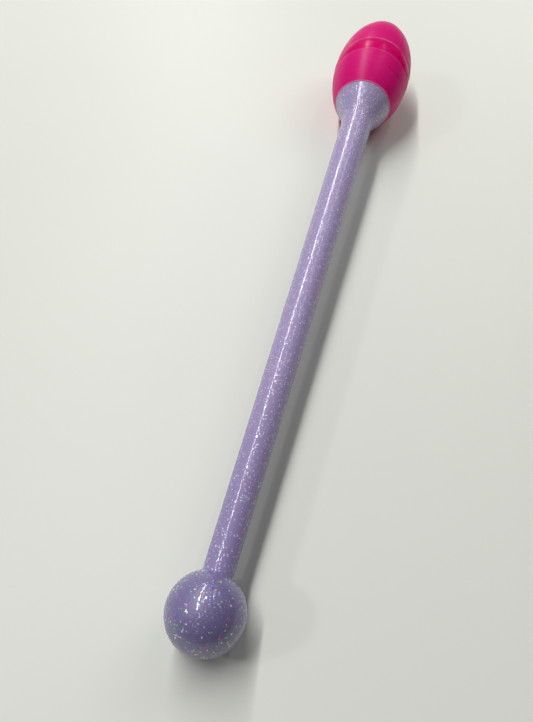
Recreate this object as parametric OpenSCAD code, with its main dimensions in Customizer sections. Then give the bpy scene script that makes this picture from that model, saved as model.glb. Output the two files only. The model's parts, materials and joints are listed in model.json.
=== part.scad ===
// Rhythmic gymnastics club of the linking kind: a ball, a tapering shaft that flares into an oval
// head, and a socket in the tip of the head that takes the ball of a second club.
// Every piece is turned about the club's own axis. It is drawn upright first, with z = 0 at the
// ball's centre and the head above, and then laid on the table as the club rests by itself: on its
// ball and on the band around its head. The axis then runs along +Y, a little nose up.

/* [Overall] */
// Length of the club from the ball to the mouth of the socket
club_length = 405; // [370:1:486]
// Diameter of the ball
ball_d = 30; // [25:0.5:36]

/* [Shaft] */
// Diameter of the shaft where it leaves the ball
shaft_d = 12; // [10:0.1:14.4]
// Diameter of the shaft where it starts to flare
shaft_top_d = 18.6; // [16:0.1:22.4]
// Diameter of the flare where it meets the head
flare_d = 34.5; // [30:0.1:40]
// Angle between the flare's straight cone and the axis
flare_angle = 24.5; // [20:0.5:35]
// Radius of the curve that leads from the shaft into the flare
flare_curve = 22; // [10:1:30]
// Diameter of the spigot that carries the head on the end of the flare
spigot_d = 24; // [20:0.5:28]
// Length of the spigot
spigot_len = 8.6; // [7:0.1:12]
// Depth that the shaft's thin end is let into the ball
shaft_seat = 2.7; // [1:0.1:4]

/* [Head] */
// Largest diameter of the oval that the head's two shells are cut from
head_d = 50; // [44:0.5:60]
// Length of that oval, if it were not cut off at both ends
head_oval = 102; // [85:0.2:122]
// Wall of the two shells
head_wall = 2.8; // [2:0.1:3.4]
// Step where the head stands out past the edge of the flare
neck_lip = 0.25; // [0:0.05:0.5]
// Floor of the lower shell, which rests on the end of the flare
floor_t = 3; // [2:0.1:4]
// Rounding of the cap's lower edge
cap_edge = 0.8; // [0.3:0.1:1.2]

/* [Band] */
// Length of the band along the axis
band_len = 10.8; // [9:0.1:13]
// Distance from the oval's widest place down to the band's lower end
band_drop = 10.6; // [8.8:0.1:12]
// Distance from the band's lower end to its crown
band_crown = 6.9; // [5:0.1:8]
// Radius of the band's bulging outline
band_arc = 24; // [20:1:28]
// Thickness of the band at its crown
band_t = 2.65; // [2.2:0.05:3.2]
// Wall of the collar under the band
collar_t = 1.8; // [1.4:0.1:2.4]
// Length of the collar inside the cap
collar_grip = 5.6; // [3.6:0.1:6.6]

/* [Link socket] */
// Radial clearance between the socket and the ball of the other club
link_gap = 0.15; // [0.05:0.05:0.4]
// Wall of the socket cup
cup_t = 1.25; // [1:0.05:1.6]
// Height of the cup's rolled lip above the cap
lip_h = 2.7; // [2:0.1:3.5]
// Width of the cup's rolled lip
lip_w = 1.75; // [1.4:0.05:2.2]
// Depth of the seated ball's centre below the mouth
seat_depth = 12.6; // [11:0.1:15]
// Width of the cap's rim around the cup
cap_rim = 1.2; // [0.8:0.1:1.6]

/* [Core] */
// Outer diameter of the glass-fibre core tube
core_d = 8; // [7:0.1:9.6]
// Bore of the core tube
core_bore_d = 5.8; // [5:0.1:6]
// Length of the metal insert in the ball
insert_len = 18; // [14:0.5:20]
// Wall of that insert
insert_t = 1.5; // [1:0.1:2]
// Length of the threaded plug in the head end of the core tube
plug_len = 12; // [8:0.5:16]

/* [Hub and weights] */
// Thickness of the hub's flange
hub_flange_t = 3; // [2:0.1:4]
// Wall of the hub's boss around the core tube
hub_boss_t = 3.5; // [2.5:0.1:4.5]
// Web that closes the hub's boss above the core tube
hub_web_t = 2; // [1.5:0.1:3]
// Width of the ledge that the hub's flange rests on
ledge_w = 2; // [1.5:0.1:3]
// Wall of the balance ring
balance_t = 5; // [3:0.1:6]
// Length of the balance ring
balance_len = 10; // [6:0.5:12]
// Thickness of the ring nut on the spigot
nut_h = 5; // [4:0.1:6]
// Width of the ring nut's wall
nut_w = 3.6; // [3:0.1:4]

/* [Hub screw] */
// Diameter of the screw's thread
screw_d = 4; // [3:0.1:4]
// Diameter of the screw's head
screw_head_d = 7.2; // [6:0.1:8]
// Height of the screw's head
screw_head_h = 2.4; // [2:0.1:3]
// Length of the screw under its head
screw_len = 12; // [8:0.5:14]
// Diameter of the washer
washer_d = 11; // [9:0.5:13]
// Thickness of the washer
washer_t = 0.8; // [0.5:0.1:1.2]

/* [Clearances] */
// Glue or press gap between pieces that fit into each other, on the radius
fit_gap = 0.05; // [0.02:0.01:0.1]
// Free space between pieces that must not touch
free_gap = 1.5; // [1:0.1:3]

/* [Hidden] */

// Facets for the preview, and steps along the outlines that follow a formula
$fn = 96;
outline_steps = 36;
arc_steps = 8;
// How far a cutting shape runs past the solid that it cuts
cut_past = 1;

ball_r = ball_d/2;
shaft_r = shaft_d/2;
shaft_top_r = shaft_top_d/2;
flare_r = flare_d/2;
spigot_r = spigot_d/2;
head_r = head_d/2;
oval_a = head_oval/2;
core_r = core_d/2;
core_hole_r = core_r + fit_gap;

// Socket, from the mouth downwards
mouth_z = club_length - ball_r;
cap_end_z = mouth_z - lip_h;
seat_z = mouth_z - seat_depth;
socket_r = ball_r + link_gap;
cup_r = socket_r + cup_t;
cup_bottom_z = seat_z - cup_r;
cup_hole_r = cup_r + fit_gap;
cap_end_r = cup_hole_r + cap_rim;

// Head: the oval is placed so that its cut ends match the cap's rim and the flare
widest_z = cap_end_z - oval_a*sqrt(1 - pow(cap_end_r/head_r, 2));
flare_z = widest_z - oval_a*sqrt(1 - pow((flare_r + neck_lip)/head_r, 2));
rim_z = widest_z - band_drop;
cap_z = rim_z + band_len;
collar_top_z = cap_z + collar_grip;
collar_r = head_r - band_t;
collar_in_r = collar_r - collar_t;
floor_z = flare_z + floor_t;

// Shaft
flare_rise = flare_curve*(1 - cos(flare_angle));
flare_start_z = flare_z - flare_curve*sin(flare_angle)
    - (flare_r - shaft_top_r - flare_rise)/tan(flare_angle);
shaft_end_z = sqrt(pow(ball_r, 2) - pow(shaft_r, 2)) - shaft_seat;
spigot_top_z = flare_z + spigot_len;

// Hub, hung under the socket cup with room for its screw
hub_top_z = cup_bottom_z - free_gap - screw_head_h - washer_t;
ledge_z = hub_top_z - hub_flange_t;
ledge_r = collar_in_r - ledge_w;
hub_boss_r = core_hole_r + hub_boss_t;
core_top_z = hub_top_z - hub_web_t;
insert_bottom_z = shaft_end_z - insert_len;
insert_floor = 1;
core_bottom_z = insert_bottom_z + insert_floor;
screw_hole_r = screw_d/2 + 0.2;

// Band: its outline is an arc about this radius, which also sets how the club rests
band_centre_r = head_r - band_arc;
band_crown_z = rim_z + band_crown;
rest_angle = atan2(band_centre_r, band_crown_z)
    + asin((band_arc - ball_r)/norm([band_centre_r, band_crown_z]));
lip_centre_z = mouth_z - lip_w/2;
lip_centre_r = socket_r + lip_w/2;
// How far the resting club reaches from the ball's centre towards the head
reach_y = lip_centre_z*cos(rest_angle) + lip_centre_r*sin(rest_angle) + lip_w/2;

// Radius of the head's oval at height z
function oval_r(z) = head_r*sqrt(1 - pow((z - widest_z)/oval_a, 2));

// Heights from z0 to z1 in even steps
function steps(z0, z1, n = outline_steps) = [for (i = [0:n]) z0 + (z1 - z0)*i/n];

// Lay the upright club on the table, with the origin under the middle of the club
module lay_down()
    translate([0, (ball_r - reach_y)/2, ball_r])
        rotate([rest_angle - 90, 0, 0])
            children();

// A ring with square edges, standing on height z
module ring(outer_r, inner_r, z, h)
    translate([0, 0, z])
        difference() {
            cylinder(r = outer_r, h = h);
            translate([0, 0, -cut_past])
                cylinder(r = inner_r, h = h + 2*cut_past);
        }

// Tapering grip, moulded over the core tube, with the flare and the spigot for the head
module shaft() {
    flare_arc = [for (i = [0:arc_steps]) let (a = flare_angle*i/arc_steps)
        [shaft_top_r + flare_curve*(1 - cos(a)), flare_start_z + flare_curve*sin(a)]];
    color([0.62, 0.58, 0.76])
        lay_down()
            rotate_extrude()
                polygon(concat(
                    [[core_hole_r, shaft_end_z], [shaft_r, shaft_end_z]],
                    flare_arc,
                    [[flare_r, flare_z], [spigot_r, flare_z], [spigot_r, spigot_top_z],
                     [core_hole_r, spigot_top_z]]));
}

// Glass-fibre tube that runs from the ball to the hub and gives the club its stiffness
module core_tube()
    color([0.88, 0.86, 0.76])
        lay_down()
            ring(core_r, core_bore_d/2, core_bottom_z, core_top_z - core_bottom_z);

// Solid ball with a stepped hole for the insert and for the end of the shaft
module ball()
    color([0.52, 0.48, 0.68])
        lay_down()
            difference() {
                sphere(r = ball_r);
                translate([0, 0, insert_bottom_z])
                    cylinder(r = core_r + insert_t + fit_gap, h = insert_len);
                translate([0, 0, shaft_end_z])
                    cylinder(r = shaft_r + fit_gap, h = ball_d);
            }

// Metal cup pressed into the ball, grooved on the outside so that it holds
module ball_insert() {
    groove_count = 4;
    groove_h = 1.2;
    groove_depth = 0.5;
    groove_pitch = insert_len/(groove_count + 1);
    color([0.78, 0.64, 0.32])
        lay_down()
            difference() {
                translate([0, 0, insert_bottom_z])
                    cylinder(r = core_r + insert_t, h = insert_len);
                translate([0, 0, core_bottom_z])
                    cylinder(r = core_hole_r, h = insert_len);
                for (i = [1:groove_count])
                    ring(core_r + insert_t + cut_past, core_r + insert_t - groove_depth,
                         insert_bottom_z + i*groove_pitch - groove_h/2, groove_h);
            }
}

// Lower half of the head: rests on the flare and carries the collar for the band and the cap
module head_shell() {
    ledge_bottom_z = ledge_z - hub_flange_t;
    outside = [for (z = steps(flare_z, rim_z)) [oval_r(z), z]];
    inside = [for (z = steps(ledge_bottom_z - ledge_w, floor_z))
        [min(collar_in_r, oval_r(z) - head_wall), z]];
    color([0.86, 0.26, 0.56])
        lay_down()
            rotate_extrude()
                polygon(concat(
                    [[spigot_r + fit_gap, flare_z]],
                    outside,
                    [[collar_r, rim_z], [collar_r, collar_top_z], [collar_in_r, collar_top_z],
                     [collar_in_r, ledge_z], [ledge_r, ledge_z], [ledge_r, ledge_bottom_z]],
                    inside,
                    [[spigot_r + fit_gap, floor_z]]));
}

// Soft ring that bulges between the two shells
module head_band()
    color([0.85, 0.06, 0.44])
        lay_down()
            rotate_extrude()
                intersection() {
                    translate([band_centre_r, band_crown_z])
                        circle(r = band_arc);
                    translate([collar_r + fit_gap, rim_z])
                        square([2*band_t, band_len]);
                }

// Upper half of the head: slides over the collar and ends in a rim around the socket cup
module head_cap() {
    skirt_r = collar_r + fit_gap;
    edge_r = oval_r(cap_z + cap_edge) - cap_edge;
    edge = [for (i = [0:arc_steps]) let (a = 90*i/arc_steps)
        [edge_r + cap_edge*sin(a), cap_z + cap_edge*(1 - cos(a))]];
    outside = [for (z = steps(cap_z + cap_edge, cap_end_z)) [oval_r(z), z]];
    inside = [for (z = steps(cap_end_z, collar_top_z))
        [max(cup_hole_r, min(skirt_r, oval_r(z) - head_wall)), z]];
    color([0.86, 0.22, 0.53])
        lay_down()
            rotate_extrude()
                polygon(concat(
                    edge,
                    [for (i = [1:len(outside) - 1]) outside[i]],
                    inside,
                    [[skirt_r, collar_top_z], [skirt_r, cap_z]]));
}

// Cup with a round bottom and a rolled lip, which takes the ball of the other club
module socket_cup()
    color([0.82, 0.20, 0.50])
        lay_down()
            rotate_extrude()
                difference() {
                    union() {
                        intersection() {
                            translate([0, seat_z])
                                circle(r = cup_r);
                            translate([0, cup_bottom_z - cut_past])
                                square([2*cup_r, cup_r + cut_past]);
                        }
                        translate([0, seat_z])
                            square([cup_r, cap_end_z - seat_z]);
                        translate([0, cap_end_z])
                            square([socket_r + lip_w, lip_centre_z - cap_end_z]);
                        translate([lip_centre_r, lip_centre_z])
                            circle(r = lip_w/2);
                    }
                    translate([0, seat_z])
                        circle(r = socket_r);
                    translate([-cut_past, seat_z])
                        square([socket_r + cut_past, seat_depth - lip_w/2]);
                    translate([-cut_past, lip_centre_z - cut_past])
                        square([lip_centre_r - lip_w/2 + cut_past, lip_w + cut_past]);
                }

// Ring nut that holds the lower shell on the spigot, with notches for a pin spanner
module neck_nut() {
    notch_count = 4;
    notch_w = 3;
    notch_depth = 1.6;
    nut_r = spigot_r + nut_w;
    color([0.72, 0.74, 0.76])
        lay_down()
            difference() {
                ring(nut_r, spigot_r + fit_gap, floor_z, nut_h);
                for (i = [0:notch_count - 1])
                    rotate([0, 0, i*360/notch_count])
                        translate([nut_r - notch_depth, -notch_w/2, floor_z + nut_h/2])
                            cube([2*notch_depth, notch_w, nut_h]);
            }
}

// Nylon hub: its boss holds the core tube and its flange stands on the ledge in the lower shell
module head_hub() {
    boss_bottom_z = spigot_top_z + free_gap;
    color([0.92, 0.92, 0.90])
        lay_down()
            difference() {
                union() {
                    translate([0, 0, boss_bottom_z])
                        cylinder(r = hub_boss_r, h = hub_top_z - boss_bottom_z);
                    translate([0, 0, ledge_z])
                        cylinder(r = collar_in_r - fit_gap, h = hub_flange_t);
                }
                translate([0, 0, boss_bottom_z - cut_past])
                    cylinder(r = core_hole_r, h = core_top_z - boss_bottom_z + cut_past);
                translate([0, 0, core_top_z - cut_past])
                    cylinder(r = screw_hole_r, h = hub_web_t + 2*cut_past);
            }
}

// Steel ring under the hub's flange that brings the club up to its weight
module balance_ring()
    color([0.45, 0.46, 0.48])
        lay_down()
            ring(hub_boss_r + fit_gap + balance_t, hub_boss_r + fit_gap,
                 ledge_z - balance_len, balance_len);

// Threaded plug glued into the head end of the core tube
module core_plug()
    color([0.78, 0.64, 0.32])
        lay_down()
            ring(core_bore_d/2 - fit_gap, screw_d/2 + fit_gap, core_top_z - plug_len, plug_len);

// Screw that pulls the hub down onto the core tube
module hub_screw() {
    slot_w = 1;
    slot_depth = 1.2;
    head_z = hub_top_z + washer_t;
    color([0.60, 0.61, 0.63])
        lay_down()
            difference() {
                union() {
                    translate([0, 0, head_z])
                        cylinder(d = screw_head_d, h = screw_head_h);
                    translate([0, 0, head_z - screw_len])
                        cylinder(d = screw_d, h = screw_len);
                }
                for (a = [0, 90])
                    rotate([0, 0, a])
                        translate([-screw_head_d/3, -slot_w/2, head_z + screw_head_h - slot_depth])
                            cube([screw_head_d*2/3, slot_w, slot_depth + cut_past]);
            }
}

// Washer under the head of the screw
module hub_washer()
    color([0.70, 0.71, 0.73])
        lay_down()
            ring(washer_d/2, screw_hole_r, hub_top_z, washer_t);

shaft();
core_tube();
ball();
ball_insert();
head_shell();
head_band();
head_cap();
socket_cup();
neck_nut();
head_hub();
balance_ring();
core_plug();
hub_screw();
hub_washer();
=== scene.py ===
# %% [markdown]
# # A linking club for rhythmic gymnastics
#
# The real object is a 405 mm club: a solid ball that is held in the hand, a thin glittery shaft that
# widens into a flare, and a soft pink head of two shells with a rubbery band between them. The tip of
# the head is a socket that takes the ball of a second club. Almost everything on it was turned or
# moulded round, so the lesson is about three things: turning an outline into a smooth piece with
# Geometry Nodes, scattering glitter with Geometry Nodes, and mixing plastics that look like plastics.
#
# The CAD model is the fixed frame. It is loaded first, and the club's places and sizes come from it.

# %% Load the CAD frame
import json
import math

import bmesh
import bpy
import numpy as np
from mathutils import Matrix, Vector


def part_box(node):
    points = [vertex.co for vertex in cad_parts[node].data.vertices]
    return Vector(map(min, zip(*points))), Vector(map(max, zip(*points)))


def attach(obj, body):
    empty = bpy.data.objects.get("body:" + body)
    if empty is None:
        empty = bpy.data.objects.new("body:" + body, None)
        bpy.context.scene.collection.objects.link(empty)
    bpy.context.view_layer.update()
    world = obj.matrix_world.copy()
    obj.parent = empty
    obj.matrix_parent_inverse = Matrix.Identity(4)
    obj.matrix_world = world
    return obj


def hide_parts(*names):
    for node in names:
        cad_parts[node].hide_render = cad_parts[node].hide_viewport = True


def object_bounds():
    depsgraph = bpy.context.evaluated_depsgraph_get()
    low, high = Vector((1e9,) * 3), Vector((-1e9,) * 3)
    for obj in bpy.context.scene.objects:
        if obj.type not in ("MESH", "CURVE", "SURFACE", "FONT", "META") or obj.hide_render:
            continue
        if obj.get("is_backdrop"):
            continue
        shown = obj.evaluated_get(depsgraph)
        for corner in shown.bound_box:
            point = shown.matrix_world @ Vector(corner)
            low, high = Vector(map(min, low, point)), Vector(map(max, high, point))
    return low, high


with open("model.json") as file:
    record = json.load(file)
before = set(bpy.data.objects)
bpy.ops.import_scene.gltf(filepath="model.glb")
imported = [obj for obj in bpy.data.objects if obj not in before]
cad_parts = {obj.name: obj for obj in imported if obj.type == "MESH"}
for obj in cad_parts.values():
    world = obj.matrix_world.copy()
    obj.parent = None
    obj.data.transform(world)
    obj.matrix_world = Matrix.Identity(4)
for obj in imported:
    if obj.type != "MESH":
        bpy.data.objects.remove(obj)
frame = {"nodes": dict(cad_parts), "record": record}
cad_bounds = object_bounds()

MM = 0.001
record = frame["record"]
print("CAD nodes:", ", ".join(sorted(frame["nodes"])))
print("CAD box, mm:", [round(v / MM, 2) for corner in cad_bounds for v in corner])

# %% [markdown]
# ## The club's own axis
#
# The club lies on its ball and on its band, so its axis climbs a little along +Y. A turned piece is
# easiest to describe by two numbers: the station, which is how far along the axis a point is from the
# ball's centre, and the radius, its distance from the axis. The record's mounts give the axis, and the
# ball's box gives its radius, so the point where the stations start can be worked out.

# %% Stations and radii
mounts = {m["name"]: m for m in record["mounts"]}
axis = Vector(mounts["link_socket"]["axis"]).normalized()
ball_low, ball_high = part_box("ball")
ball_r = round((ball_high.x - ball_low.x) / MM, 1) * MM / 2
ball_centre = Vector(mounts["link_ball"]["pos_m"]) + axis * ball_r
tilt = math.asin(axis.z)


def stations(node):
    """For each face of a CAD node: its corners' (station, radius) in mm and how far it faces outwards."""
    mesh = frame["nodes"][node].data
    spots = []
    for v in mesh.vertices:
        along = (v.co - ball_centre).dot(axis)
        out = v.co - ball_centre - axis * along
        spots.append((round(along / MM, 2), round(out.length / MM, 2), out))
    for face in mesh.polygons:
        middle = sum((spots[i][2] for i in face.vertices), Vector()) / len(face.vertices)
        if middle.length > 0:
            yield [spots[i][:2] for i in face.vertices], face.normal.dot(middle.normalized())


print("axis climbs", round(math.degrees(tilt), 2), "degrees; ball radius", round(ball_r / MM, 2), "mm")

# %% [markdown]
# ## Reading an outline back from the CAD
#
# A lathe operator works from an outline: the edge of the piece if it were sawn through along its axis.
# It could be typed in again as a list of numbers, but then it could drift away from the CAD model, so it
# is read from the model's own faces. The faces that look away from the axis give its outside, and the
# faces that look towards the axis give its bore. Walking up the outside and back down the inside gives
# the whole closed outline.

# %% Outlines
ON_AXIS = 0.05  # mm: a corner nearer to the axis than this is a pole
FLAT_END = 0.04  # a face that turns out or in by less than this is the flat end of a piece
SAME_SPOT = 0.03  # mm: corners nearer to each other than this are one


def outline(node):
    """The node's outline as (station, radius) in mm: up the outside, then down the inside."""
    walls, poles = {1: set(), -1: set()}, set()
    for corners, facing in stations(node):
        poles.update(s for s, r in corners if r < ON_AXIS)
        if abs(facing) > FLAT_END:
            walls[1 if facing > 0 else -1].update(corners)
    path = []
    for side in (1, -1):
        spots = sorted(walls[side], key=lambda p: side * p[0])
        while spots:
            level = [p for p in spots if p[0] == spots[0][0]]
            last = path[-1] if path else (-99, 0)
            step = min(level, key=lambda p: abs(p[1] - last[1]))
            spots.remove(step)
            if math.dist(step, last) > SAME_SPOT:
                path.append(step)
    if not poles:  # a ring: its outline is a loop
        return path + path[:1]
    low, high = min(poles), max(poles)
    return [(low, 0.0), *path, (high if high > low else path[-1][0], 0.0)]


ROUND = ("ball", "shaft", "head_shell", "head_band", "head_cap", "socket_cup")
outlines = {node: outline(node) for node in ROUND}
for node, path in outlines.items():
    print(node, len(path), "points from", path[0], "to", path[-1])

# %% [markdown]
# ## Breaking the edges
#
# No moulded edge is perfectly sharp, and a small rounding is what catches a thin line of light. A Bevel
# modifier could round the turned mesh, but it is simpler to round the outline before it is turned. Each
# corner that turns by more than 20 degrees becomes a small arc. One more point just outside the arc
# holds the smooth shading of the long faces beside it, as a holding loop does.

# %% Rounded outlines
SHARP = math.radians(20)
ARC_POINTS = 6
HOLD = 1.6  # how far out the holding points are, in lengths of the cut


def rounded(path, radius):
    """The outline with each sharp corner turned into an arc of that radius, in mm."""
    closed = path[0] == path[-1]
    spots = [Vector(p) for p in (path[:-1] if closed else path)]
    result = []
    for i, here in enumerate(spots):
        before, after = spots[i - 1], spots[(i + 1) % len(spots)]
        if not closed and i in (0, len(spots) - 1):
            result.append(here)
            continue
        into, out = (here - before), (after - here)
        bend = into.angle(out)
        if bend < SHARP:
            result.append(here)
            continue
        cut = min(radius * math.tan(bend / 2), 0.4 * into.length, 0.4 * out.length)
        start, end = here - into.normalized() * cut, here + out.normalized() * cut
        result.append(here - into.normalized() * cut * HOLD)
        for k in range(ARC_POINTS):
            t = k / (ARC_POINTS - 1)
            result.append(start * (1 - t) ** 2 + here * 2 * t * (1 - t) + end * t ** 2)
        result.append(here + out.normalized() * cut * HOLD)
    if closed:
        result.append(result[0])
    return result


for node, path in outlines.items():
    print(node, len(path), "->", len(rounded(path, 0.2)), "points")

# %% [markdown]
# ## One function to add a node
#
# Every tree below, for shapes and for finishes, is built from nodes with settings and links. One small
# function adds a node, sets what it is told to set, and links each input that is given a socket.

# %% A node with its settings and links
def add(tree, kind, inputs=(), **settings):
    """Add a node of that kind; inputs maps a socket's name or number to a value or to a socket."""
    node = tree.nodes.new(kind)
    for name, value in settings.items():
        setattr(node, name, value)
    for socket, value in dict(inputs).items():
        if isinstance(value, bpy.types.NodeSocket):
            tree.links.new(value, node.inputs[socket])
        else:
            node.inputs[socket].default_value = value
    return node


def new_tree(name, **sockets):
    """A Geometry Nodes tree with a geometry in and out and the named inputs; returns tree, in, out."""
    tree = bpy.data.node_groups.new(name, "GeometryNodeTree")
    tree.interface.new_socket("Geometry", in_out="INPUT", socket_type="NodeSocketGeometry")
    tree.interface.new_socket("Geometry", in_out="OUTPUT", socket_type="NodeSocketGeometry")
    for label, kind in sockets.items():
        tree.interface.new_socket(
            label.replace("_", " "), in_out="INPUT", socket_type="NodeSocket" + kind)
    return tree, add(tree, "NodeGroupInput"), add(tree, "NodeGroupOutput")


def grow(name, mesh, tree, **inputs):
    """Run the tree on the mesh and return the result as a plain object at the origin."""
    source = bpy.data.objects.new(name + "_source", mesh)
    bpy.context.scene.collection.objects.link(source)
    modifier = source.modifiers.new(tree.name, "NODES")
    modifier.node_group = tree
    for item in tree.interface.items_tree:  # a socket's identifier, not its name, is the modifier's key
        label = item.name.replace(" ", "_")
        if item.item_type == "SOCKET" and item.in_out == "INPUT" and label in inputs:
            modifier[item.identifier] = inputs[label]
    bpy.context.view_layer.update()
    evaluated = source.evaluated_get(bpy.context.evaluated_depsgraph_get())
    result = bpy.data.meshes.new_from_object(evaluated)
    bpy.data.objects.remove(source)
    result.name = name
    piece = bpy.data.objects.new(name, result)
    bpy.context.scene.collection.objects.link(piece)
    return piece


print("helpers:", ", ".join(f.__name__ for f in (add, new_tree, grow)))

# %% [markdown]
# ## The lathe
#
# Turning is a rule: every point of the outline goes once round the axis at its own radius. A Screw
# modifier could do it too. A node tree is used because its inputs also lay the piece down along the
# club's own axis, and because the same tree makes the skins that the glitter is scattered on. The tree
# makes a grid with one column for each step round and one row for each outline point, looks each point
# up by its number, and puts it at its angle. Merging by distance closes the seam and the poles.

# %% The lathe tree
lathe, given, made = new_tree(
    "Lathe", Steps_round="Int", Lean="Float", Start="Vector", Finish="Material")
count = add(lathe, "GeometryNodeAttributeDomainSize", {"Geometry": given.outputs["Geometry"]})
columns = add(lathe, "ShaderNodeMath", {0: given.outputs["Steps round"], 1: 1.0}, operation="ADD")
grid = add(lathe, "GeometryNodeMeshGrid",
           {"Vertices X": columns.outputs[0], "Vertices Y": count.outputs["Point Count"]})
number = add(lathe, "GeometryNodeInputIndex")
row = add(lathe, "ShaderNodeMath", {0: number.outputs[0], 1: count.outputs["Point Count"]},
          operation="MODULO")
column = add(lathe, "ShaderNodeMath", {0: number.outputs[0], 1: count.outputs["Point Count"]},
             operation="DIVIDE")
column = add(lathe, "ShaderNodeMath", {0: column.outputs[0]}, operation="FLOOR")
place = add(lathe, "GeometryNodeInputPosition")
spot = add(lathe, "GeometryNodeSampleIndex",
           {"Geometry": given.outputs["Geometry"], "Value": place.outputs[0], "Index": row.outputs[0]},
           data_type="FLOAT_VECTOR")
parts = add(lathe, "ShaderNodeSeparateXYZ", {0: spot.outputs[0]})
share = add(lathe, "ShaderNodeMath", {0: column.outputs[0], 1: given.outputs["Steps round"]},
            operation="DIVIDE")
angle = add(lathe, "ShaderNodeMath", {0: share.outputs[0], 1: math.tau}, operation="MULTIPLY")
cosine = add(lathe, "ShaderNodeMath", {0: angle.outputs[0]}, operation="COSINE")
sine = add(lathe, "ShaderNodeMath", {0: angle.outputs[0]}, operation="SINE")
x = add(lathe, "ShaderNodeMath", {0: cosine.outputs[0], 1: parts.outputs["X"]}, operation="MULTIPLY")
y = add(lathe, "ShaderNodeMath", {0: sine.outputs[0], 1: parts.outputs["X"]}, operation="MULTIPLY")
round_spot = add(lathe, "ShaderNodeCombineXYZ",
                 {0: x.outputs[0], 1: y.outputs[0], 2: parts.outputs["Z"]})
bent = add(lathe, "GeometryNodeSetPosition",
           {"Geometry": grid.outputs["Mesh"], "Position": round_spot.outputs[0]})
closed = add(lathe, "GeometryNodeMergeByDistance",
             {"Geometry": bent.outputs[0], "Distance": 0.002 * MM})
lean = add(lathe, "ShaderNodeMath", {0: given.outputs["Lean"], 1: math.pi / 2}, operation="SUBTRACT")
lean = add(lathe, "ShaderNodeCombineXYZ", {0: lean.outputs[0]})
lean = add(lathe, "FunctionNodeEulerToRotation", {0: lean.outputs[0]})
laid = add(lathe, "GeometryNodeTransform",
           {"Geometry": closed.outputs[0], "Translation": given.outputs["Start"],
            "Rotation": lean.outputs[0]})
smooth = add(lathe, "GeometryNodeSetShadeSmooth", {"Geometry": laid.outputs[0], "Shade Smooth": True})
whole = add(lathe, "GeometryNodeRealizeInstances", {"Geometry": smooth.outputs[0]})
dressed = add(lathe, "GeometryNodeSetMaterial",
              {"Geometry": whole.outputs[0], "Material": given.outputs["Finish"]})
lathe.links.new(dressed.outputs[0], made.inputs[0])
print("the lathe tree has", len(lathe.nodes), "nodes")

# %% Turning an outline
STEPS_ROUND = 128


def turn(name, path, finish, steps=STEPS_ROUND):
    """Turn an outline, given as (station, radius) in mm, into a piece on the club's axis."""
    wire = bpy.data.meshes.new(name + "_outline")
    wire.from_pydata([(r * MM, 0, s * MM) for s, r in path], [(i, i + 1) for i in range(len(path) - 1)], [])
    return grow(name, wire, lathe, Steps_round=steps, Lean=tilt, Start=ball_centre, Finish=finish)


def face_outwards(piece):
    """Turn the piece's faces outwards if they look in, and print whether it is closed."""
    shape = bmesh.new()
    shape.from_mesh(piece.data)
    open_edges = sum(not e.is_manifold for e in shape.edges)
    volume = shape.calc_volume(signed=True) / MM ** 3
    if volume < 0:
        bmesh.ops.reverse_faces(shape, faces=shape.faces)
        shape.to_mesh(piece.data)
    print(piece.name, len(shape.faces), "faces,", open_edges, "open edges,",
          round(abs(volume)), "mm3")
    shape.free()


print("pieces are turned in", STEPS_ROUND, "steps")

# %% [markdown]
# ## Colours
#
# Colours are written as they look on a screen, as sRGB hex values, and one function turns them into
# the linear values that a shader works with.

# %% Linear colour
def linear(code):
    """An sRGB hex colour as linear red, green, blue, alpha."""
    parts = [int(code[i:i + 2], 16) / 255 for i in (1, 3, 5)]
    return (*[v / 12.92 if v <= 0.04045 else ((v + 0.055) / 1.055) ** 2.4 for v in parts], 1.0)


def new_material(name):
    """An empty node material with its output and a Principled BSDF; returns material, tree, shader."""
    material = bpy.data.materials.new(name)
    material.use_nodes = True
    tree = material.node_tree
    tree.nodes.clear()
    shader = add(tree, "ShaderNodeBsdfPrincipled")
    add(tree, "ShaderNodeOutputMaterial", {"Surface": shader.outputs[0]})
    return material, tree, shader


def club_mm(tree):
    """Coordinates in mm along the club: z is the station from the ball's centre, x and y lie across."""
    spot = add(tree, "ShaderNodeTexCoord")
    moved = add(tree, "ShaderNodeMapping", {"Vector": spot.outputs["Object"], "Location": -ball_centre})
    laid = add(tree, "ShaderNodeMapping", {
        "Vector": moved.outputs[0], "Rotation": (math.pi / 2 - tilt, 0, 0), "Scale": (1 / MM,) * 3})
    return laid.outputs[0]


def palette(node, stops):
    """Give a colour ramp sharp steps from (place, hex colour) pairs."""
    ramp = node.color_ramp
    ramp.interpolation = "CONSTANT"
    while len(ramp.elements) < len(stops):
        ramp.elements.new(1.0)
    for element, (place, code) in zip(ramp.elements, stops):
        element.position = place
        element.color = linear(code)


print("middle grey is", [round(v, 3) for v in linear("#777777")], "to a shader")

# %% [markdown]
# ## Glitter PVC
#
# The shaft and the ball are lilac plastic full of glitter, under a clear skin of PVC that gives sharp
# highlights. Two sizes of glitter show: very fine silver specks, about 0.25 mm, that make the shaft look
# frosted, and larger holographic flakes that flash green, blue, red or gold. The fine specks are cells
# of a Voronoi pattern, each a little brighter or darker and with its normal tilted its own way. They
# are drawn 0.45 to 0.7 mm wide, because finer ones would average out. More of them show near the head.
# The lilac is painted darker towards the ball as painted shade, and the ball's own lilac is painted
# darker than the shaft's in the same way. The big flakes are real pieces, made further down. The clear
# skin is the coat layer. Its own faint ripple grows towards the head, where the glitter is densest, so
# that a highlight is crisp at the ball and a little ragged at the flare.

# %% Glitter PVC
SPECK_HUES = ((0.0, "#C9C0E2"), (0.45, "#E9E4F6"), (0.80, "#8F84B8"), (0.93, "#A9E8C4"), (0.965, "#9FB4F4"))
SHADE_NEAR_BALL = "#6E6198"  # the lilac of the painted shade near the ball
PVC_IOR = 1.53


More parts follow.
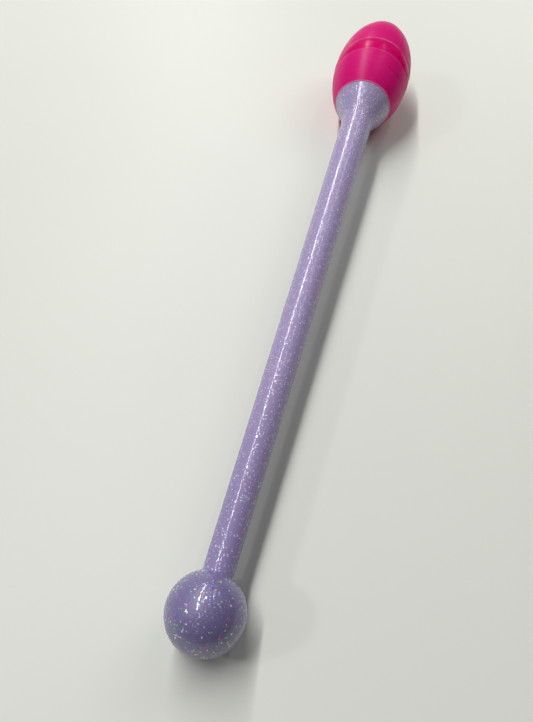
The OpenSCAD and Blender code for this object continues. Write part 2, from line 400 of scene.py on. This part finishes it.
def glitter_pvc(name, body, shade, grain, shares, contrast, shine, sheen, clear_skin, ripple):
    """Lilac PVC with glitter. grain is the width of a speck's cell in mm, and shares are the parts of the
    cells that hold a speck, at the ball and at the flare. contrast and shine are how bright and how
    metallic a speck is, sheen is the specular level of the body, clear_skin is the coat's weight, and
    ripple is the height of the coat's waves in mm."""
    material, tree, shader = new_material(name)
    spot = club_mm(tree)
    station = add(tree, "ShaderNodeSeparateXYZ", {0: spot})
    cloud = add(tree, "ShaderNodeTexNoise", {"Vector": spot, "Scale": 1 / 18, "Detail": 3.0})
    tone = add(tree, "ShaderNodeMix", {
        "Factor": cloud.outputs[0], 6: linear(body), 7: linear(shade)}, data_type="RGBA")
    # Painted shade: the lilac darkens towards the ball, below the 120 mm station.
    shade_near_ball = add(tree, "ShaderNodeMapRange", {
        "Value": station.outputs["Z"], "From Min": 10.0, "From Max": 120.0, "To Min": 0.45, "To Max": 0.0})
    tone = add(tree, "ShaderNodeMix", {
        "Factor": shade_near_ball.outputs[0], 6: tone.outputs[2], 7: linear(SHADE_NEAR_BALL)}, data_type="RGBA")
    specks = add(tree, "ShaderNodeTexVoronoi", {"Vector": spot, "Scale": 1 / grain})
    draw = add(tree, "ShaderNodeSeparateColor", {0: specks.outputs["Color"]})
    wanted = add(tree, "ShaderNodeMapRange", {
        "Value": station.outputs["Z"], "From Min": 0.0, "From Max": 300.0,
        "To Min": shares[0], "To Max": shares[1]})
    chosen = add(tree, "ShaderNodeMath", {0: draw.outputs[0], 1: wanted.outputs[0]}, operation="LESS_THAN")
    close = add(tree, "ShaderNodeMath", {0: specks.outputs["Distance"], 1: 0.45}, operation="LESS_THAN")
    speck = add(tree, "ShaderNodeMath", {0: chosen.outputs[0], 1: close.outputs[0]}, operation="MULTIPLY")
    hue = add(tree, "ShaderNodeValToRGB", {0: draw.outputs[1]})
    palette(hue, SPECK_HUES)
    strength = add(tree, "ShaderNodeMath", {0: speck.outputs[0], 1: contrast}, operation="MULTIPLY")
    colour = add(tree, "ShaderNodeMix", {
        "Factor": strength.outputs[0], 6: tone.outputs[2], 7: hue.outputs[0]}, data_type="RGBA")
    normal = add(tree, "ShaderNodeNewGeometry")
    lean = add(tree, "ShaderNodeVectorMath", {0: specks.outputs["Color"], 1: (0.5, 0.5, 0.5)},
               operation="SUBTRACT")
    lean = add(tree, "ShaderNodeVectorMath", {0: lean.outputs[0], "Scale": 0.35}, operation="SCALE")
    lean = add(tree, "ShaderNodeVectorMath", {0: lean.outputs[0], 1: normal.outputs["Normal"]},
               operation="ADD")
    lean = add(tree, "ShaderNodeVectorMath", {0: lean.outputs[0]}, operation="NORMALIZE")
    facing = add(tree, "ShaderNodeMix", {
        "Factor": speck.outputs[0], 4: normal.outputs["Normal"], 5: lean.outputs[0]}, data_type="VECTOR")
    metal = add(tree, "ShaderNodeMath", {0: speck.outputs[0], 1: shine}, operation="MULTIPLY")
    dull = add(tree, "ShaderNodeMapRange", {"Value": speck.outputs[0], "To Min": 0.5, "To Max": 0.34})
    waves = add(tree, "ShaderNodeTexNoise", {"Vector": spot, "Scale": 1 / 0.4, "Detail": 1.0})
    depth = add(tree, "ShaderNodeMapRange", {
        "Value": station.outputs["Z"], "From Min": 120.0, "From Max": 290.0,
        "To Min": ripple * MM, "To Max": 7 * ripple * MM})
    waves = add(tree, "ShaderNodeBump", {
        "Height": waves.outputs[0], "Strength": 1.0, "Distance": depth.outputs[0]})
    for socket, value in {
            "Base Color": colour.outputs[2], "Metallic": metal.outputs[0], "Roughness": dull.outputs[0],
            "Normal": facing.outputs[1], "Coat Normal": waves.outputs[0]}.items():
        tree.links.new(value, shader.inputs[socket])
    shader.inputs["IOR"].default_value = PVC_IOR
    shader.inputs["Specular IOR Level"].default_value = sheen
    shader.inputs["Coat Weight"].default_value = clear_skin
    shader.inputs["Coat Roughness"].default_value = 0.03
    shader.inputs["Coat IOR"].default_value = PVC_IOR
    return material


shaft_pvc = glitter_pvc(
    "glitter PVC of the shaft", "#9C8FBD", "#A28DB4", grain=0.7, shares=(0.20, 0.55), contrast=0.5,
    shine=0.25, sheen=0.3, clear_skin=0.45, ripple=0.0018)
# The ball's lilac is darker than the shaft's as painted shade; it is the same plastic.
ball_pvc = glitter_pvc(
    "glitter PVC of the ball", "#72669A", "#6C608A", grain=0.45, shares=(0.35, 0.35), contrast=0.3,
    shine=0.45, sheen=0.9, clear_skin=0.7, ripple=0.012)
print("made", shaft_pvc.name, "and", ball_pvc.name)

# %% [markdown]
# ## Moulded soft plastic
#
# The two shells are moulded from a soft pink plastic. It is dense in colour and waxy rather than shiny.
# Subsurface scattering could give the waxiness, but such dense pigment lets little light through, so a
# low specular level does it. The faint mottling of the mould and a few fine rubs are all that breaks
# it. Its edges are painted paler, as painted highlight lines where a rounded edge catches the light: at
# the flare, at the band and under the cap. The band is a deeper pink rubber with a slightly wetter
# shine, and the socket's cup is a duller, paler one.

# %% Soft plastics
# The first colour is for fine rubs, which are wear; the second is a painted highlight on rounded edges.
RUBBED, EDGE_HIGHLIGHT = "#F2A6CC", "#F6A2C8"


def soft_plastic(name, body, shade, roughness, specular, mottle, edges=()):
    """Soft plastic or rubber; edges are (station, strength) of each edge that gets a painted highlight
    line.
    """
    material, tree, shader = new_material(name)
    spot = club_mm(tree)
    station = add(tree, "ShaderNodeSeparateXYZ", {0: spot})
    patchy = add(tree, "ShaderNodeTexNoise", {"Vector": spot, "Scale": 1 / 6, "Detail": 5.0})
    cloud = add(tree, "ShaderNodeTexNoise", {"Vector": spot, "Scale": 1 / 14, "Detail": 4.0})
    tone = add(tree, "ShaderNodeMix", {
        "Factor": cloud.outputs[0], 6: linear(body), 7: linear(shade)}, data_type="RGBA")
    rubs = add(tree, "ShaderNodeMapping", {"Vector": spot, "Scale": (1 / 5, 1 / 5, 1 / 0.5)})
    rubs = add(tree, "ShaderNodeTexNoise", {"Vector": rubs.outputs[0], "Scale": 1.0, "Detail": 4.0})
    rubs = add(tree, "ShaderNodeMapRange", {
        "Value": rubs.outputs[0], "From Min": 0.62, "From Max": 0.72, "To Min": 0.0, "To Max": 0.10})
    rubs_and_edge_highlights = add(tree, "ShaderNodeMix", {
        "Factor": rubs.outputs[0], 6: tone.outputs[2], 7: linear(RUBBED)}, data_type="RGBA")
    # Each listed edge gets a painted highlight line, broken up by noise.
    for edge, strength in edges:
        away = add(tree, "ShaderNodeMath", {0: station.outputs["Z"], 1: edge}, operation="SUBTRACT")
        away = add(tree, "ShaderNodeMath", {0: away.outputs[0]}, operation="ABSOLUTE")
        near = add(tree, "ShaderNodeMapRange", {
            "Value": away.outputs[0], "From Min": 0.3, "From Max": 0.8, "To Min": strength, "To Max": 0.0})
        near = add(tree, "ShaderNodeMath", {0: near.outputs[0], 1: patchy.outputs[0]}, operation="MULTIPLY")
        rubs_and_edge_highlights = add(tree, "ShaderNodeMix", {
            "Factor": near.outputs[0], 6: rubs_and_edge_highlights.outputs[2], 7: linear(EDGE_HIGHLIGHT)}, data_type="RGBA")
    gloss = add(tree, "ShaderNodeMapRange", {
        "Value": patchy.outputs[0], "From Min": 0.3, "From Max": 0.7,
        "To Min": roughness - 0.05, "To Max": roughness + 0.06})
    fine = add(tree, "ShaderNodeTexNoise", {"Vector": spot, "Scale": 1 / 0.6, "Detail": 3.0})
    bump = add(tree, "ShaderNodeBump", {
        "Height": fine.outputs[0], "Strength": mottle, "Distance": 0.03 * MM})
    for socket, value in {
            "Base Color": rubs_and_edge_highlights.outputs[2], "Roughness": gloss.outputs[0],
            "Normal": bump.outputs[0]}.items():
        tree.links.new(value, shader.inputs[socket])
    shader.inputs["IOR"].default_value = 1.49
    shader.inputs["Specular IOR Level"].default_value = specular
    return material


shell_start = min(s for s, r in outlines["head_shell"])
shell_rim = max(outlines["head_shell"], key=lambda spot: spot[1])[0]
cap_start = min(s for s, r in outlines["head_cap"])
# The three edges below get painted highlight lines: the flare joint, the rim and the cap's lower edge.
shell_plastic = soft_plastic(
    "moulded soft pink plastic", "#D21274", "#CC0E6C", roughness=0.36, specular=0.08, mottle=0.25,
    edges=((shell_start, 1.0), (shell_rim, 0.35), (cap_start + 0.3, 0.6)))
band_rubber = soft_plastic(
    "thermoplastic rubber", "#D20266", "#CA025E", roughness=0.22, specular=0.06, mottle=0.15)
cup_rubber = soft_plastic(
    "soft socket rubber", "#CE3A84", "#C8327E", roughness=0.48, specular=0.2, mottle=0.2)
print("made", shell_plastic.name, ",", band_rubber.name, "and", cup_rubber.name)

# %% [markdown]
# ## The inner pieces
#
# The tube, the metal parts and the nylon hub are hidden inside, but they show when the head is taken
# apart, so each gets its own finish. Their CAD meshes have the right shape and stay. What the eye reads
# on a turned part is the direction of its marks: turning lines run round it, and the glass fibres of a
# pultruded tube run along it. A Wave pattern would make them too even, so both are one noise pattern,
# squeezed along the club for the turning lines and stretched along it for the fibres.

# %% Machined, moulded and pultruded finishes
def made_along(name, body, shade, metallic, roughness, around, along, relief):
    """A material whose marks have that size in mm around and along the club, and that relief in mm."""
    material, tree, shader = new_material(name)
    spot = club_mm(tree)
    marks = add(tree, "ShaderNodeMapping", {"Vector": spot, "Scale": (1 / around, 1 / around, 1 / along)})
    marks = add(tree, "ShaderNodeTexNoise", {"Vector": marks.outputs[0], "Scale": 1.0, "Detail": 4.0})
    stain = add(tree, "ShaderNodeTexNoise", {"Vector": spot, "Scale": 1 / 7, "Detail": 3.0})
    blend = add(tree, "ShaderNodeMath", {0: marks.outputs[0], 1: stain.outputs[0]}, operation="MULTIPLY")
    blend = add(tree, "ShaderNodeMapRange", {"Value": blend.outputs[0], "From Min": 0.12, "From Max": 0.42})
    tone = add(tree, "ShaderNodeMix", {
        "Factor": blend.outputs[0], 6: linear(body), 7: linear(shade)}, data_type="RGBA")
    gloss = add(tree, "ShaderNodeMapRange", {
        "Value": marks.outputs[0], "From Min": 0.3, "From Max": 0.7,
        "To Min": roughness - 0.07, "To Max": roughness + 0.08})
    bump = add(tree, "ShaderNodeBump", {"Height": marks.outputs[0], "Distance": relief * MM})
    for socket, value in {
            "Base Color": tone.outputs[2], "Roughness": gloss.outputs[0],
            "Normal": bump.outputs[0]}.items():
        tree.links.new(value, shader.inputs[socket])
    shader.inputs["Metallic"].default_value = metallic
    return material


PLASTIC, METAL = 0.0, 1.0
TURNED = {"around": 30.0, "along": 0.3, "relief": 0.02}
glass_fibre = made_along(
    "pultruded glass fibre", "#C9CDB6", "#A9AF92", PLASTIC, 0.42, around=0.25, along=40.0, relief=0.03)
nylon = made_along("moulded nylon", "#E6E3DA", "#D8D3C6", PLASTIC, 0.5, around=2.0, along=2.0, relief=0.02)
brass = made_along("turned brass", "#E2C069", "#B8913F", METAL, 0.28, **TURNED)
aluminium = made_along("turned aluminium", "#E2E3E5", "#BFC1C5", METAL, 0.34, **TURNED)
zinc_steel = made_along(
    "zinc plated steel", "#C9CCD0", "#9EA3AB", METAL, 0.38, around=3.0, along=1.2, relief=0.02)
INSIDE = {
    "core_tube": glass_fibre, "ball_insert": brass, "core_plug": brass, "neck_nut": aluminium,
    "head_hub": nylon, "balance_ring": zinc_steel, "hub_screw": zinc_steel, "hub_washer": zinc_steel}
for node, finish in INSIDE.items():
    for place in frame["nodes"][node].material_slots:
        place.material = finish
    print(node, "is", finish.name)

# %% [markdown]
# ## The six outer pieces
#
# Each outer piece of the CAD model is turned again from its own outline, in smooth steps and with its
# edges broken, and stands in for the faceted one. Shading the CAD mesh smooth would be less work, but it
# would smear the light across the sharp edges. The print shows that each piece is closed and how much
# material it holds.

# %% Shaft, ball, shells, band and cup
# Each node's finish, and the radius of its broken edges in mm.
FINISH = {
    "shaft": (shaft_pvc, 0.12), "ball": (ball_pvc, 0.12), "head_shell": (shell_plastic, 0.22),
    "head_band": (band_rubber, 0.25), "head_cap": (shell_plastic, 0.22), "socket_cup": (cup_rubber, 0.15)}
for node, (finish, edge) in FINISH.items():
    piece = turn("turned_" + node, rounded(outlines[node], edge), finish)
    face_outwards(piece)
    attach(piece, "root")
    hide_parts(node)

# %% [markdown]
# ## Holographic flakes
#
# The big flakes are six-sided chips cut from metallised polyester film, about 0.4 mm across. Each sends
# back one colour of light. They could be dots in the PVC material, but a dot can't lie at its own angle
# on top of the skin and glint by itself, so the chips are real pieces. This material gives them their
# colours: it reads a random number, the tint, that the next step stores on each chip. Low tints are
# silver, and the others are green, blue, red, gold and pink.

# %% Flake material
FLAKE_HUES = (
    (0.0, "#F4F0FC"), (0.16, "#C8BEE8"), (0.30, "#A8F0BC"), (0.46, "#6CDC98"), (0.58, "#7EA4FF"),
    (0.70, "#5868F0"), (0.80, "#F89088"), (0.87, "#F8B468"), (0.91, "#FCE890"), (0.95, "#E890D4"))
holographic, tree, shader = new_material("metallised polyester glitter")
tint = add(tree, "ShaderNodeAttribute", attribute_name="tint")
hue = add(tree, "ShaderNodeValToRGB", {0: tint.outputs["Fac"]})
palette(hue, FLAKE_HUES)
foil = add(tree, "ShaderNodeTexNoise", {"Vector": club_mm(tree), "Scale": 1 / 0.3, "Detail": 2.0})
dull = add(tree, "ShaderNodeMapRange", {"Value": foil.outputs[0], "To Min": 0.2, "To Max": 0.45})
tree.links.new(hue.outputs[0], shader.inputs["Base Color"])
tree.links.new(dull.outputs[0], shader.inputs["Roughness"])
shader.inputs["Metallic"].default_value = 0.35
print("made", holographic.name)

# %% [markdown]
# ## Scattering chips
#
# The tree scatters points over a skin, puts a thin six-sided chip on each one, turns it and tilts it a
# little at random, and stores a random tint on it. A loop in Python could place the chips one by one,
# but the node that scatters points spreads them evenly over any shape and takes one seed. Points low
# down or at the ball's very end are left out, so that no chip touches the table or stands out of the box.

# %% Flake tree
scatter, given, made = new_tree(
    "Scatter_flakes", Per_square_metre="Float", Seed="Int", Width="Float", Thickness="Float",
    Lowest_tint="Float", Tilt="Float", Clear_below="Float", Clear_before="Float", Finish="Material")
points = add(scatter, "GeometryNodeDistributePointsOnFaces", {
    "Mesh": given.outputs["Geometry"], "Density": given.outputs["Per square metre"],
    "Seed": given.outputs["Seed"]})
where = add(scatter, "GeometryNodeInputPosition")
where = add(scatter, "ShaderNodeSeparateXYZ", {0: where.outputs[0]})
low = add(scatter, "ShaderNodeMath", {0: where.outputs["Z"], 1: given.outputs["Clear below"]},
          operation="LESS_THAN")
fore = add(scatter, "ShaderNodeMath", {0: where.outputs["Y"], 1: given.outputs["Clear before"]},
           operation="LESS_THAN")
either = add(scatter, "ShaderNodeMath", {0: low.outputs[0], 1: fore.outputs[0]}, operation="MAXIMUM")
kept = add(scatter, "GeometryNodeDeleteGeometry",
           {"Geometry": points.outputs["Points"], "Selection": either.outputs[0]}, domain="POINT")
half = add(scatter, "ShaderNodeMath", {0: given.outputs["Width"], 1: 0.5}, operation="MULTIPLY")
chip = add(scatter, "GeometryNodeMeshCylinder",
           {"Vertices": 6, "Radius": half.outputs[0], "Depth": given.outputs["Thickness"]})
back = add(scatter, "ShaderNodeMath", {0: given.outputs["Tilt"], 1: -1.0}, operation="MULTIPLY")
least = add(scatter, "ShaderNodeCombineXYZ", {0: back.outputs[0], 1: back.outputs[0], 2: 0.0})
most = add(scatter, "ShaderNodeCombineXYZ", {
    0: given.outputs["Tilt"], 1: given.outputs["Tilt"], 2: math.tau})
turn_by = add(scatter, "FunctionNodeRandomValue", {
    0: least.outputs[0], 1: most.outputs[0], "Seed": 11}, data_type="FLOAT_VECTOR")
turn_by = add(scatter, "FunctionNodeEulerToRotation", {0: turn_by.outputs[0]})
lying = add(scatter, "FunctionNodeRotateRotation", {
    "Rotation": points.outputs["Rotation"], "Rotate By": turn_by.outputs[0]}, rotation_space="LOCAL")
sizes = add(scatter, "FunctionNodeRandomValue", {2: 0.6, 3: 1.25, "Seed": 12}, data_type="FLOAT")
chips = add(scatter, "GeometryNodeInstanceOnPoints", {
    "Points": kept.outputs[0], "Instance": chip.outputs["Mesh"], "Rotation": lying.outputs[0],
    "Scale": sizes.outputs[1]})
tints = add(scatter, "FunctionNodeRandomValue", {
    2: given.outputs["Lowest tint"], 3: 1.0, "Seed": 13}, data_type="FLOAT")
chips = add(scatter, "GeometryNodeStoreNamedAttribute", {
    "Geometry": chips.outputs[0], "Name": "tint", "Value": tints.outputs[1]},
    data_type="FLOAT", domain="INSTANCE")
chips = add(scatter, "GeometryNodeRealizeInstances", {"Geometry": chips.outputs[0]})
chips = add(scatter, "GeometryNodeSetMaterial", {
    "Geometry": chips.outputs[0], "Material": given.outputs["Finish"]})
scatter.links.new(chips.outputs[0], made.inputs[0])
print("the flake tree has", len(scatter.nodes), "nodes")

# %% [markdown]
# ## Three lots of flakes
#
# The outside of the shaft and of the ball is turned once more, as a thin skin to scatter on, and the
# skin is thrown away afterwards. The flare gets a second, denser and mostly silver lot. Real chips are
# too small to show from here, so these are drawn 0.55 to 0.8 mm across.

# %% Scattering the flakes
def outside(node, start, end):
    """The outside of a node's outline between two stations."""
    path = outlines[node]
    walk = path[:1 + max(range(len(path)), key=lambda i: path[i][0])]
    along, out = zip(*walk)
    return [(s, float(np.interp(s, along, out)))
            for s in [start, *[s for s in along if start < s < end], end]]


CHIP_THICKNESS, CHIP_TILT = 0.03, 0.15  # mm, and radians either way
ABOVE_TABLE, FROM_THE_END = 1.0, 0.6  # mm that are kept clear of chips
# Name, node, first and last station, chips for each mm2, width in mm, lowest tint and seed.
FLAKES = (
    ("shaft_flakes", "shaft", 14.0, 314.3, 0.12, 0.55, -0.35, 5),
    ("flare_flakes", "shaft", 270.0, 314.3, 0.25, 0.6, -1.6, 6),
    ("ball_flakes", "ball", -14.9, 13.6, 0.20, 0.8, 0.0, 8))
for name, node, start, end, density, width, lowest_tint, seed in FLAKES:
    under = turn(name + "_skin", outside(node, start, end), holographic, steps=64)
    flakes = grow(
        name, under.data, scatter, Per_square_metre=density / MM ** 2, Seed=seed, Width=width * MM,
        Thickness=CHIP_THICKNESS * MM, Lowest_tint=lowest_tint, Tilt=CHIP_TILT,
        Clear_below=ABOVE_TABLE * MM, Clear_before=cad_bounds[0][1] + FROM_THE_END * MM,
        Finish=holographic)
    bpy.data.objects.remove(under)
    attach(flakes, "root")
    print(flakes.name, len(flakes.data.polygons) // 8, "chips")

# %% [markdown]
# ## Grip marks on the lower shell
#
# The mould leaves a short row of raised marks beside the shell's rim. Here they are five plain bars. A
# bump in the shell's material could draw them, but it would have no edge seen from the side. So a bar is
# a small block rounded by subdivision, and the tree stands one on each point of a row, with its back to
# the shell and its length along the club.

# %% Bar tree
bars, given, made = new_tree(
    "Row_of_bars", Width="Float", Length="Float", Height="Float", Finish="Material")
size = add(bars, "ShaderNodeCombineXYZ", {
    0: given.outputs["Width"], 1: given.outputs["Length"], 2: given.outputs["Height"]})
block = add(bars, "GeometryNodeMeshCube", {"Size": size.outputs[0]})
block = add(bars, "GeometryNodeSubdivisionSurface",
            {"Mesh": block.outputs[0], "Level": 3, "Edge Crease": 0.7})
facing = add(bars, "GeometryNodeInputNamedAttribute", {"Name": "facing"}, data_type="FLOAT_VECTOR")
upright = add(bars, "FunctionNodeAlignRotationToVector", {"Vector": facing.outputs[0]}, axis="Z")
along = add(bars, "GeometryNodeInputNamedAttribute", {"Name": "along"}, data_type="FLOAT_VECTOR")
upright = add(bars, "FunctionNodeAlignRotationToVector", {
    "Rotation": upright.outputs[0], "Vector": along.outputs[0]}, axis="Y", pivot_axis="Z")
row = add(bars, "GeometryNodeInstanceOnPoints", {
    "Points": given.outputs["Geometry"], "Instance": block.outputs[0], "Rotation": upright.outputs[0]})
row = add(bars, "GeometryNodeSetShadeSmooth", {"Geometry": row.outputs[0], "Shade Smooth": True})
row = add(bars, "GeometryNodeRealizeInstances", {"Geometry": row.outputs[0]})
row = add(bars, "GeometryNodeSetMaterial",
          {"Geometry": row.outputs[0], "Material": given.outputs["Finish"]})
bars.links.new(row.outputs[0], made.inputs[0])
print("the bar tree has", len(bars.nodes), "nodes")

# %% Raised bars
BAR_WIDTH, BAR_LENGTH, BAR_HEIGHT = 1.1, 2.4, 0.45  # mm; half of the height is sunk in the shell
BAR_STATION = 331.0
BAR_ANGLES = [math.radians(a) for a in (42, 47, 52, 57, 62)]  # up from +X, round the club's axis
beside = outside("head_shell", BAR_STATION - 1, BAR_STATION + 1)
(s_low, r_low), (s_high, r_high) = beside[0], beside[-1]
slope = Vector((s_high - s_low, r_high - r_low)).normalized()
across = Vector((1, 0, 0))
above = across.cross(axis)
ways = [across * math.cos(a) + above * math.sin(a) for a in BAR_ANGLES]
row_mesh = bpy.data.meshes.new("bar_row")
row_mesh.from_pydata(
    [ball_centre + (axis * BAR_STATION + way * (r_low + r_high) / 2) * MM for way in ways], [], [])
for label, vectors in (("facing", [way * slope.x - axis * slope.y for way in ways]),
                       ("along", [axis * slope.x + way * slope.y for way in ways])):
    layer = row_mesh.attributes.new(label, "FLOAT_VECTOR", "POINT")
    layer.data.foreach_set("vector", [v for vector in vectors for v in vector])
shell_bars = grow("shell_bars", row_mesh, bars, Width=BAR_WIDTH * MM, Length=BAR_LENGTH * MM,
                  Height=BAR_HEIGHT * MM, Finish=shell_plastic)
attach(shell_bars, "root")
print(shell_bars.name, len(shell_bars.data.polygons), "faces")

# %% [markdown]
# ## Floor
#
# The club lies on a white laminate table, which is matt and has only a trace of a reflection. A curved
# backdrop would hide the far edge, but a flat sheet is enough for a plain floor. It belongs to the
# stage, not to the object.

# %% Floor
REACH = 1.6  # metres from the middle to each side
floor_mesh = bpy.data.meshes.new("floor")
floor_mesh.from_pydata(
    [(-REACH, -REACH, 0), (REACH, -REACH, 0), (REACH, REACH, 0), (-REACH, REACH, 0)], [], [(0, 1, 2, 3)])
floor = bpy.data.objects.new("floor", floor_mesh)
bpy.context.scene.collection.objects.link(floor)
laminate, tree, shader = new_material("white laminate")
spot = add(tree, "ShaderNodeTexCoord")
cloud = add(tree, "ShaderNodeTexNoise", {"Vector": spot.outputs["Object"], "Scale": 6.0, "Detail": 4.0})
tone = add(tree, "ShaderNodeMix", {
    "Factor": cloud.outputs[0], 6: linear("#E0E0DA"), 7: linear("#DBDBD5")}, data_type="RGBA")
tree.links.new(tone.outputs[2], shader.inputs["Base Color"])
shader.inputs["Roughness"].default_value = 0.45
shader.inputs["Specular IOR Level"].default_value = 0.3
floor.data.materials.append(laminate)
floor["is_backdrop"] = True
print("floor is", laminate.name)

# %% [markdown]
# ## Lamps
#
# Two long, narrow lamps run nearly the same way as the club, because a round shaft turns such a lamp
# into one thin bright line along its whole length. A round or square lamp would give a short spot. A
# small panel on the left gives the shadows a clear edge. A small fill near the head only lifts its dark
# side, and is hidden from reflections, so that it gives no highlight.

# %% Lamps
def lamp(name, towards, size, power, height=2.0, turned=0.0, mirrored=True):
    """A lamp facing down; towards is (x, y) of its middle for one unit of height. If it is not mirrored,
    it only gives soft light, and no highlight."""
    data = bpy.data.lights.new(name, "AREA")
    data.shape = "RECTANGLE"
    data.size, data.size_y = size
    data.energy = power
    data.color = linear("#FDFFFC")[:3]
    hung = bpy.data.objects.new(name, data)
    bpy.context.scene.collection.objects.link(hung)
    hung.location = (towards[0] * height, towards[1] * height, height)
    hung.rotation_euler = (0, 0, turned)
    hung.visible_glossy = mirrored
    print(name, "at", [round(v, 2) for v in hung.location], power, "W")


lamp("main_tube", towards=(-0.50, 0.85), size=(0.11, 4.4), power=78, turned=0.13)
lamp("second_tube", towards=(0.26, 0.95), size=(0.08, 1.8), power=7)
lamp("left_panel", towards=(-1.15, -0.5), size=(0.25, 0.25), power=16)
lamp("right_fill", towards=(0.75, 0.85), size=(0.35, 0.35), power=1.5, height=0.55, mirrored=False)

# %% [markdown]
# ## Room
#
# The rest of the light comes from the room, which is brighter on the left, as beside a window. One even
# colour would be simpler, but it would fill the shadows from both sides. What is seen directly behind
# the floor is an even pale grey. The view transform is the plain one, so that the colours come out as
# they were written.

# %% Room
ROOM_LEFT, ROOM_RIGHT, BACKDROP = 0.30, 0.03, 0.75
bpy.context.scene.view_settings.view_transform = "Standard"
world = bpy.data.worlds.new("room")
bpy.context.scene.world = world
world.use_nodes = True
room = world.node_tree
room.nodes.clear()
direction = add(room, "ShaderNodeTexCoord")
direction = add(room, "ShaderNodeSeparateXYZ", {0: direction.outputs["Generated"]})
level = add(room, "ShaderNodeMapRange", {
    "Value": direction.outputs["X"], "From Min": -1.0, "From Max": 0.5,
    "To Min": ROOM_LEFT, "To Max": ROOM_RIGHT})
seen = add(room, "ShaderNodeLightPath")
shown = add(room, "ShaderNodeMix", {
    "Factor": seen.outputs["Is Camera Ray"], 2: level.outputs[0], 3: BACKDROP})
back = add(room, "ShaderNodeBackground", {"Color": linear("#EFF1F4"), "Strength": shown.outputs[0]})
add(room, "ShaderNodeOutputWorld", {"Surface": back.outputs[0]})
print("room is", ROOM_LEFT, "on the left and", ROOM_RIGHT, "on the right")

# %% [markdown]
# ## Camera
#
# The camera stands close above the ball and looks steeply down along the club through a wide lens, so
# the ball looks large and the head small. A longer lens from further away would show the club's true
# proportions, but not this view of it. Depth of field stays off.

# %% Camera
STANDS_AT = Vector((0.02249, -0.22614, 0.24205))
LOOKS_ALONG = Vector((-0.11109, 0.54985, -0.82784))
RIGHT_HAND = Vector((0.96346, 0.26387, 0.04598))
camera_data = bpy.data.cameras.new("camera")
camera_data.sensor_fit = "VERTICAL"
camera_data.sensor_height = 36
camera_data.lens = 29.26
camera_data.clip_start = 0.01
camera = bpy.data.objects.new("camera", camera_data)
bpy.context.scene.collection.objects.link(camera)
bpy.context.scene.camera = camera
ahead = LOOKS_ALONG.normalized()
right = (RIGHT_HAND - ahead * RIGHT_HAND.dot(ahead)).normalized()
aim = Matrix((right, right.cross(ahead), -ahead)).transposed().to_4x4()
camera.matrix_world = Matrix.Translation(STANDS_AT) @ aim
print("camera at", [round(v / MM) for v in STANDS_AT], "mm")

# %% [markdown]
# ## Sizes, and the end
#
# Both boxes are printed: the CAD model's and the finished model's. The finished model must stay
# inside the CAD model's box.

# %% Sizes
visual_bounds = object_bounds()
for label, box in (("CAD", cad_bounds), ("visual", visual_bounds)):
    print(label, "box, mm:", [[round(v / MM, 2) for v in corner] for corner in box])
